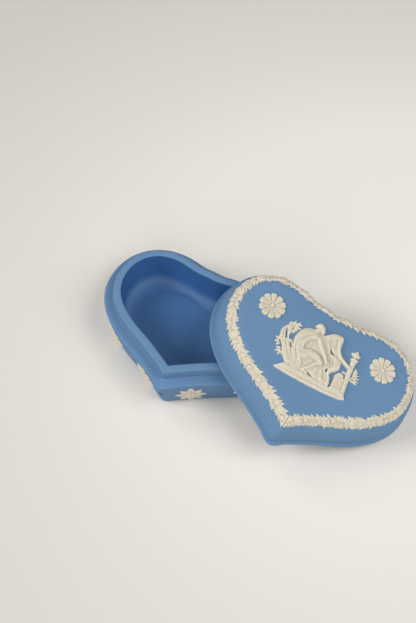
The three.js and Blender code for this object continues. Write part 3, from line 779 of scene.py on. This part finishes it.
def line_dist(X, Y, pts):
    """distance to a polyline and how far along it, 0..1"""
    best = np.full(X.shape, 1e9); al = np.zeros(X.shape)
    seg = np.hypot(*np.diff(pts, axis=0).T); tot = seg.sum(); run = 0
    for (x0, y0), (x1, y1), L in zip(pts[:-1], pts[1:], seg):
        if L < 1e-9:
            continue
        t = np.clip(((X - x0) * (x1 - x0) + (Y - y0) * (y1 - y0)) / (L * L), 0, 1)
        d = np.hypot(X - x0 - t * (x1 - x0), Y - y0 - t * (y1 - y0))
        m = d < best
        best = np.where(m, d, best); al = np.where(m, (run + t * L) / tot, al)
        run += L
    return best, al


def scene_relief():
    f = Field(-24.6, 25.2, -28.2, 9.0, 0.15)
    X, Y = np.meshgrid(f.u, f.v, indexing="ij")

    def poly(points, z, bevel=0.9, smooth=True, k=0.0):
        pts = curve(points, 8) if smooth else np.array(points, float)
        ins = inside_poly(X, Y, pts)
        d, _ = line_dist(X, Y, np.vstack([pts, pts[:1]]))
        b = np.clip(d / bevel, 0, 1)
        h = z * (1 - (1 - b) ** 2) ** 0.5
        h = np.where(ins, np.maximum(h, 0.0), -0.5)
        f.h = np.maximum(f.h, h) if k <= 0 else np.where(ins, smax(f.h, h, k), f.h)

    def limb(points, radii, z, k=0.25, z0=0.0):
        pts = curve(points, 8, closed=False)
        d, al = line_dist(X, Y, pts)
        r = np.interp(al, np.linspace(0, 1, len(radii)), radii)
        q = d / r
        h = z0 + z * np.clip(1 - q ** 2, 0, 1) ** 0.5
        f.h = np.where(q < 1, smax(f.h, h, k) if k > 0 else np.maximum(f.h, h), f.h)

    def ridge(points, width, height, taper=True):
        pts = curve(points, 8, closed=False)
        d, al = line_dist(X, Y, pts)
        amp = height * (np.sin(np.pi * np.clip(al, 0.04, 0.96)) ** 0.5 if taper else 1)
        f.h = np.where(f.h > 0.15, f.h + amp * np.exp(-(d / width) ** 2), f.h)

    def hole(points):
        pts = curve(points, 6)
        ins = inside_poly(X, Y, pts)
        d, _ = line_dist(X, Y, np.vstack([pts, pts[:1]]))
        f.h = np.where(ins, -0.5, np.minimum(f.h, 0.25 + 1.9 * np.clip(d / 0.75, 0, 9) ** 0.7))

    # ---- the ground: a lower lip and a rounded upper strip cut with slanting strokes
    poly([(-18.0, -26.0), (-14.9, -24.3), (19.9, -22.6), (20.6, -23.4), (18.2, -24.7), (10, -26.0), (0, -26.8), (-9, -27.1), (-17.0, -26.9)], 0.75, 0.5, smooth=False)
    poly([(-17.2, -25.8), (-14.8, -22.9), (-13.6, -22.0), (19.3, -21.7), (20.1, -22.9), (10, -24.0), (0, -24.6), (-10, -25.0), (-16.4, -25.6)], 1.25, 0.7, smooth=False)
    for x in np.arange(-15.0, 19.6, 1.5):
        ridge([(x, -24.6 + 0.02 * x), (x + 1.3, -22.6 + 0.02 * x)], 0.22, -0.16, False)

    # ---- the tree: two stems parted by a long slit, bark lines, sprays of leaves
    poly([(-13.2, -22.2), (-15.2, -20.4), (-17.6, -17.2), (-19.7, -13.6), (-21.6, -10.4), (-22.4, -7.4), (-21.8, -4.8), (-20.4, -2.6), (-18.6, -2.2), (-17.6, -3.6),
          (-17.5, -6.2), (-17.2, -9.0), (-15.0, -9.4), (-13.8, -12.0), (-11.6, -16), (-11.4, -22.2)], 1.15, 1.1)
    for pts in ([(-14.4, -20.6), (-18.0, -15.6), (-21.2, -9.8), (-21.4, -5.4)], [(-13.6, -19.6), (-17.2, -14.6), (-19.8, -9.8)], [(-13.0, -17.6), (-16.0, -13.6), (-17.4, -10.2)],
                [(-20.9, -10.6), (-21.9, -7.4), (-20.9, -4.4)], [(-14.0, -15.8), (-15.8, -12.4)]):
        ridge(pts, 0.34, 0.22)
        ridge([(x + 0.75, y + 0.1) for x, y in pts], 0.22, -0.22)
    limb([(-17.6, -9.8), (-18.0, -6.4), (-18.4, -3.6), (-17.6, -1.6)], [0.85, 0.8, 0.7, 0.5], 1.0, 0.15)
    for (x, y, a, L, W) in [(-19.8, -3.2, 84, 3.4, 0.72), (-19.0, -2.6, 70, 3.6, 0.78), (-18.3, -2.2, 78, 4.2, 0.80), (-17.9, -2.0, 48, 4.6, 0.82), (-17.6, -1.6, 32, 4.9, 0.85),
                            (-17.4, -2.4, 12, 4.2, 0.78), (-17.8, -3.0, 355, 3.2, 0.7), (-17.9, -5.2, 30, 3.4, 0.72), (-17.9, -5.4, 5, 2.6, 0.62), (-16.4, -0.6, 62, 2.8, 0.7),
                            (-20.4, -12.4, 120, 3.2, 0.72), (-20.8, -12.6, 158, 2.8, 0.7), (-20.4, -13.4, 196, 2.7, 0.7), (-19.9, -14.0, 232, 2.5, 0.68),
                            (-18.2, -16.6, 182, 2.9, 0.7), (-18.2, -17.0, 222, 3.3, 0.74), (-17.9, -17.2, 260, 3.2, 0.72), (-17.5, -17.2, 292, 2.4, 0.62)]:
        f.leaf(x, y, math.radians(a), L, W, 0.55, 0.4, 0.3)

    # ---- the altar: plinth, shaft, cornice, a heap on top; a small flame beside it
    poly([(11.1, -22.0), (11.0, -16.0), (16.2, -16.0), (16.3, -22.0)], 1.25, 0.5, smooth=False)
    poly([(10.7, -22.2), (10.8, -20.9), (16.5, -20.9), (16.6, -22.2)], 1.45, 0.3, smooth=False)
    poly([(10.9, -15.0), (10.9, -16.2), (16.1, -16.2), (16.1, -15.0)], 1.5, 0.3, smooth=False)
    for (x, y, r) in [(11.9, -14.5, 1.15), (13.4, -14.2, 1.3), (14.9, -14.5, 1.15), (12.5, -13.2, 1.1), (14.2, -13.2, 1.1), (13.3, -12.6, 0.95)]:
        f.dome(x, y, r, 0.85, 0.55)
    for x in (12.4, 13.6, 14.8):
        ridge([(x, -20.4), (x, -16.8)], 0.26, -0.11, False)
    f.leaf(15.9, -10.6, math.radians(172), 3.1, 0.62, 0.5, 0.35, 0.3, 0.06)

    # ---- the tall torch: leaning shaft with rings, cup, three-pointed flame
    limb([(17.6, -22.2), (17.2, -16.0), (16.9, -10.4), (16.6, -5.0), (16.5, -1.8)], [1.75, 1.45, 1.45, 1.45, 1.6], 1.35, 0.1)
    limb([(16.5, -1.6), (16.4, 0.6)], [0.95, 1.0], 1.15, 0.1)
    poly([(14.9, -2.4), (14.9, -1.2), (18.2, -1.2), (18.2, -2.4)], 1.6, 0.4)
    for (a, L, W) in [(88, 3.9, 1.05), (60, 2.9, 0.8), (118, 2.9, 0.8), (28, 3.1, 0.95), (152, 3.1, 0.95)]:
        f.leaf(16.35, 0.3, math.radians(a), L, W, 0.7, 0.4, 0.25)
    f.dome(16.35, 0.9, 1.25, 0.5, 0.7)
    for y in (-20.4, -17.6, -14.4, -7.6, -4.4):
        ridge([(15.2, y - 0.2), (18.4, y + 0.4)], 0.26, 0.20, False)

    # ---- palm spray at the torch's foot
    limb([(18.3, -12.4), (20.2, -12.7), (21.9, -12.6)], [0.6, 0.5, 0.35], 0.85, 0.1)
    limb([(18.6, -12.2), (19.6, -9.4), (19.4, -5.6)], [0.55, 0.45, 0.35], 0.85, 0.1)
    for (x, y, a, L) in [(18.9, -8.6, 84, 4.2), (19.3, -7.8, 66, 3.0), (19.3, -9.2, 56, 3.6), (19.4, -10.2, 44, 4.1), (19.5, -11.2, 30, 4.4), (19.7, -11.9, 12, 3.9), (19.9, -12.5, 354, 3.2),
                         (19.0, -9.6, 70, 3.0)]:
        f.leaf(x, y, math.radians(a), L, 0.58, 0.5, 0.32, 0.3)

    # ---- the two bowed figures in loose cloth, as one low mass first
    poly([(-12.2, -22.2), (-13.2, -18), (-14.4, -12), (-14.9, -7), (-14.2, -3.2), (-12.6, -0.2), (-10.2, 1.7), (-7.8, 2.3), (-5.4, 2.0), (-3.2, 1.7), (-1.2, 2.8), (1.2, 4.2),
          (3.2, 5.8), (5.2, 6.9), (7.0, 6.2), (7.9, 3.9), (8.0, 0.6), (9.2, -2.4), (11.4, -5.2), (11.6, -9.6), (10.9, -12.6), (8.9, -13.6), (8.3, -16.6), (9.8, -18.8), (10.1, -22.2)], 1.35, 2.2)
    # far figure: back and shoulder under a cloth, both arms held out to the torch, one leg
    limb([(0.2, 1.6), (3.6, 4.0), (6.0, 4.4)], [1.9, 2.4, 1.9], 2.05, 0.5)
    limb([(6.2, 4.6), (6.7, 0.6), (7.9, -2.6), (10.2, -5.0)], [1.75, 1.5, 1.35, 1.2], 2.0, 0.4)
    limb([(9.6, -4.6), (12.6, -5.9), (15.9, -7.2)], [1.35, 1.15, 0.85], 1.75, 0.3)
    limb([(5.0, -6.2), (8.2, -7.4), (9.9, -9.8), (8.7, -12.6)], [1.5, 2.0, 2.1, 1.5], 1.9, 0.4)
    limb([(8.4, -12.4), (7.5, -15.2), (8.6, -18.6), (9.2, -21.6)], [1.35, 1.15, 1.15, 0.95], 1.7, 0.3)
    limb([(7.4, -21.2), (9.6, -21.5)], [0.8, 0.7], 1.6, 0.2)
    limb([(1.2, -15.6), (4.2, -18.6), (6.4, -21.0)], [2.3, 2.4, 1.7], 1.5, 0.5)
    # near figure: bowed back, shoulder, arm down to the elbow and along the thigh
    limb([(-6.6, -0.6), (-10.2, -2.6), (-11.9, -7.4), (-10.4, -12.6), (-8.6, -17.4)], [2.3, 3.0, 2.9, 3.2, 3.6], 2.15, 0.5)
    limb([(-5.6, -1.6), (-8.4, -4.2), (-9.9, -8.0), (-9.3, -12.0)], [2.0, 1.85, 1.6, 1.35], 2.45, 0.3)
    limb([(-9.2, -12.0), (-7.0, -11.2), (-4.6, -9.6)], [1.3, 1.15, 0.95], 2.35, 0.25)
    limb([(-3.6, -1.8), (-1.4, -4.6), (1.8, -8.0), (4.6, -11.6)], [1.9, 1.7, 1.55, 1.2], 2.3, 0.35)
    # bent near leg: thigh forward, knee, shin folded back to the foot
    limb([(-8.4, -14.6), (-5.0, -11.6), (-1.6, -11.2), (1.4, -13.0)], [3.2, 3.1, 2.6, 2.0], 2.55, 0.4)
    limb([(1.2, -13.2), (-0.8, -16.2), (-3.4, -19.4)], [1.8, 1.6, 1.1], 2.35, 0.3)
    limb([(-3.6, -19.4), (-4.6, -20.8), (-2.6, -21.6)], [1.05, 0.95, 0.7], 2.0, 0.2)
    limb([(-7.2, -17.6), (-8.4, -21.2)], [3.2, 2.9], 1.7, 0.5)
    # cloth: long sweeping folds off the shoulder and over the knee
    for pts, wd, ht in [
        ([(-1.8, -0.6), (0.6, -4.0), (4.2, -7.6), (6.2, -12.4)], 0.36, 0.34), ([(-0.6, -1.6), (2.0, -5.0), (5.2, -8.4), (6.8, -12.6)], 0.30, -0.40),
        ([(0.4, 0.8), (2.2, -3.0), (4.6, -6.6), (7.2, -9.8)], 0.36, 0.30), ([(-3.2, -3.2), (-0.6, -6.8), (3.2, -9.8), (5.4, -14.4)], 0.34, 0.32),
        ([(-4.2, -4.2), (-1.6, -8.2), (2.4, -10.4), (4.6, -14.8)], 0.30, -0.42), ([(-5.6, -4.6), (-5.2, -6.8), (-5.9, -8.6)], 0.38, -0.36),
        ([(-6.0, -8.8), (-3.0, -8.4), (0.6, -9.8), (2.9, -13.0)], 0.34, -0.50), ([(2.7, 0.6), (3.2, -2.0), (4.4, -4.0)], 0.34, -0.42),
        ([(2.2, 4.0), (4.0, 4.9), (5.8, 4.2)], 0.30, -0.20), ([(0.2, 2.8), (2.4, 2.2), (3.2, -0.4)], 0.34, -0.22), ([(4.6, 5.2), (5.0, 1.4), (5.8, -1.8)], 0.30, -0.24),
        ([(-12.9, -5.4), (-13.0, -9.6), (-11.9, -13.4), (-10.2, -16.2)], 0.34, -0.42), ([(-13.8, -6.4), (-13.7, -11.0), (-12.4, -15.4)], 0.36, 0.28),
        ([(-12.2, -14.6), (-11.0, -18.0), (-10.6, -21.6)], 0.36, 0.30), ([(-11.2, -14.4), (-9.6, -17.6), (-9.0, -21.6)], 0.30, -0.34),
        ([(-9.8, -15.6), (-7.6, -17.8), (-6.8, -21.6)], 0.36, 0.30), ([(-8.2, -15.6), (-5.8, -17.8), (-5.6, -21.0)], 0.30, -0.32),
        ([(1.4, -15.0), (-1.2, -17.6), (-3.6, -19.0)], 0.32, -0.52), ([(2.4, -15.0), (2.8, -18.2), (3.6, -21.2)], 0.30, -0.30),
        ([(3.4, -14.8), (4.4, -17.8), (5.6, -21.2)], 0.34, 0.30), ([(4.6, -15.4), (5.4, -18.2), (7.0, -21.0)], 0.28, -0.34), ([(1.2, -16.0), (0.8, -18.6), (1.8, -21.2)], 0.34, 0.28),
        ([(6.6, -7.6), (7.4, -10.4), (6.8, -13.0)], 0.30, -0.34), ([(8.8, -6.4), (10.4, -8.2), (10.2, -11.0)], 0.30, 0.20), ([(-8.6, 0.2), (-10.8, -1.8), (-12.2, -5.0)], 0.40, -0.16)]:
        ridge(pts, wd, ht)
    # ---- the near figure's head, bowed and turned away to the right: skull, hair drawn back to a roll, brow, nose and chin of a plain even profile, ear
    limb([(-6.6, 1.2), (-5.2, 2.8)], [1.7, 1.5], 2.1, 0.3)
    f.dome(-4.85, 4.15, 2.15, 1.75, 0.75, 1.10, math.radians(-52), 0.5)
    f.dome(-3.75, 3.0, 1.35, 1.35, 0.85, 1.15, math.radians(-58), 0.5)
    f.leaf(-3.3, 3.55, math.radians(-8), 1.25, 0.34, 0.6, 1.0, 0.0)
    f.dome(-2.85, 2.5, 0.5, 0.6, 1.1)
    f.dome(-3.1, 1.9, 0.62, 0.6, 1.05)
    f.dome(-5.55, 4.7, 1.95, 1.75, 1.0, 1.05, math.radians(-40), 0.55)
    f.dome(-7.15, 4.3, 0.95, 1.3, 0.85)
    for k in range(7):
        a = math.radians(-18 + k * 26)
        ridge([(-5.5 + 0.5 * math.cos(a), 4.6 + 0.5 * math.sin(a)), (-5.5 + 1.25 * math.cos(a + 0.2), 4.6 + 1.25 * math.sin(a + 0.2)), (-5.5 + 1.9 * math.cos(a + 0.35), 4.6 + 1.9 * math.sin(a + 0.35))], 0.16, -0.20, False)
    f.dome(-4.5, 3.35, 0.42, 0.35, 2.0)
    # ---- where the blue shows through
    for pts in ([(-20.1, -5.0), (-19.4, -6.4), (-18.4, -8.8), (-18.2, -10.0), (-18.7, -10.1), (-19.4, -8.6), (-20.0, -6.6)],
                [(-17.4, -6.9), (-16.2, -6.4), (-15.1, -6.0), (-15.3, -7.4), (-16.2, -8.6), (-17.0, -9.0), (-17.4, -8.2)],
                [(-15.5, -10.6), (-15.0, -11.2), (-14.1, -13.0), (-14.4, -13.3), (-15.2, -12.4), (-15.6, -11.4)],
                [(-19.1, -14.3), (-18.7, -14.4), (-18.2, -15.3), (-18.5, -15.6), (-19.0, -15.0)],
                [(3.9, -3.2), (4.7, -4.0), (6.1, -4.9), (5.7, -5.4), (4.6, -5.3), (4.1, -4.3)],
                [(12.0, -7.9), (13.6, -8.3), (15.2, -8.5), (15.3, -9.5), (13.6, -9.5), (12.6, -10.3), (12.0, -9.6)],
                [(13.9, -11.2), (15.3, -11.1), (15.4, -12.2), (14.8, -12.0)],
                [(9.9, -13.6), (10.6, -14.2), (10.9, -15.6), (10.9, -17.4), (9.9, -17.6), (8.9, -16.6), (8.4, -16.2), (9.0, -14.6)],
                [(10.5, -18.6), (10.95, -18.9), (10.9, -21.2), (10.4, -21.6), (10.2, -20.6)],
                [(6.1, -13.6), (6.5, -14.2), (6.2, -15.5), (5.8, -15.4), (5.8, -14.4)],
                [(-1.7, -20.5), (-0.6, -20.9), (1.0, -21.6), (0.4, -21.9), (-0.9, -21.7), (-1.7, -21.0)]):
        hole(pts)
    f.soften(1)
    f.piece("scene_relief_carved", top_map, place_lid, "lid", "scene_relief", 0.3)


scene_relief()

# ------------------------------------------------------------------ floor, light, camera
def stage_floor():
    me = bpy.data.meshes.new("floor")
    s = 6.0
    me.from_pydata([(-s, -s, 0), (s, -s, 0), (s, s, 0), (-s, s, 0)], [], [(0, 1, 2, 3)])
    ob = bpy.data.objects.new("floor", me)
    bpy.context.scene.collection.objects.link(ob)
    m, nt, bs = nodes_of("floor_card")
    tc = nt.nodes.new("ShaderNodeTexCoord")
    n = noise(nt, tc.outputs["Object"], 3.0, 2, 0.5)
    col = mixc(nt, n, lin(230, 226, 219), lin(233, 229, 222))
    # painted light falloff: the floor's colour darkens with distance from a point beside the object, standing in for
    # the pool of light from the lamps
    d = nt.nodes.new("ShaderNodeVectorMath"); d.operation = "DISTANCE"
    nt.links.new(tc.outputs["Object"], d.inputs[0]); d.inputs[1].default_value = (0.09, 0.06, 0.0)
    painted_light_falloff = ramp(nt, math_(nt, "DIVIDE", d.outputs["Value"], 0.8, None, True),
                [(0.0, (1, 1, 1)), (0.166, (0.965,) * 3), (0.25, (0.865,) * 3), (0.31, (0.815,) * 3), (0.394, (0.745,) * 3), (0.7, (0.64,) * 3), (1.0, (0.56,) * 3)])
    col = mixc(nt, 1.0, col, painted_light_falloff, "MULTIPLY")
    nt.links.new(col, bs.inputs["Base Color"])
    bs.inputs["Roughness"].default_value = 0.75
    bs.inputs["Specular IOR Level"].default_value = 0.2
    me.materials.append(m)


stage_floor()
sc = bpy.context.scene
sc.view_settings.view_transform = "Standard"
sc.view_settings.look = "None"
sc.view_settings.exposure = 0.0
world = bpy.data.worlds.new("world"); sc.world = world
world.use_nodes = True
world.node_tree.nodes["Background"].inputs[0].default_value = (0.97, 0.985, 1.0, 1)
world.node_tree.nodes["Background"].inputs[1].default_value = 0.13


def area(name, loc, target, size, power, color):
    l = bpy.data.lights.new(name, "AREA"); l.shape = "RECTANGLE"; l.size, l.size_y = size; l.energy = power; l.color = color
    o = bpy.data.objects.new(name, l); sc.collection.objects.link(o)
    o.location = loc
    o.rotation_mode = "QUATERNION"
    o.rotation_quaternion = (Vector(target) - Vector(loc)).to_track_quat("-Z", "Y")
    return o


area("left_box", (-1.72, -1.00, 1.52), (0.03, -0.01, 0.0), (1.1, 1.1), 33.5, (1.0, 0.988, 0.988))
area("right_box", (1.60, 0.15, 1.80), (0.05, -0.01, 0.0), (1.8, 1.8), 35.0, (1.0, 0.988, 0.988))
area("front_fill", (0.60, -2.10, 1.40), (0.03, -0.01, 0.0), (2.0, 1.6), 25.0, (1.0, 0.985, 0.975))
area("left_back", (-1.63, 0.60, 1.77), (0.03, -0.01, 0.0), (1.1, 1.1), 8.0, (1.0, 0.988, 0.988))

cam = bpy.data.cameras.new("camera"); co = bpy.data.objects.new("camera", cam); sc.collection.objects.link(co)
cam.sensor_width = 36.0; cam.lens = 61.15; cam.clip_start, cam.clip_end = 0.02, 20
C, T = Vector((0.135145, -0.282136, 0.478833)), Vector((-0.003744, 0.009805, 0.0))
co.location = C
q = (T - C).to_track_quat("-Z", "Y").to_matrix().to_4x4() @ Matrix.Rotation(math.radians(0.442), 4, "Z")
co.rotation_mode = "QUATERNION"
co.rotation_quaternion = q.to_quaternion()
sc.camera = co
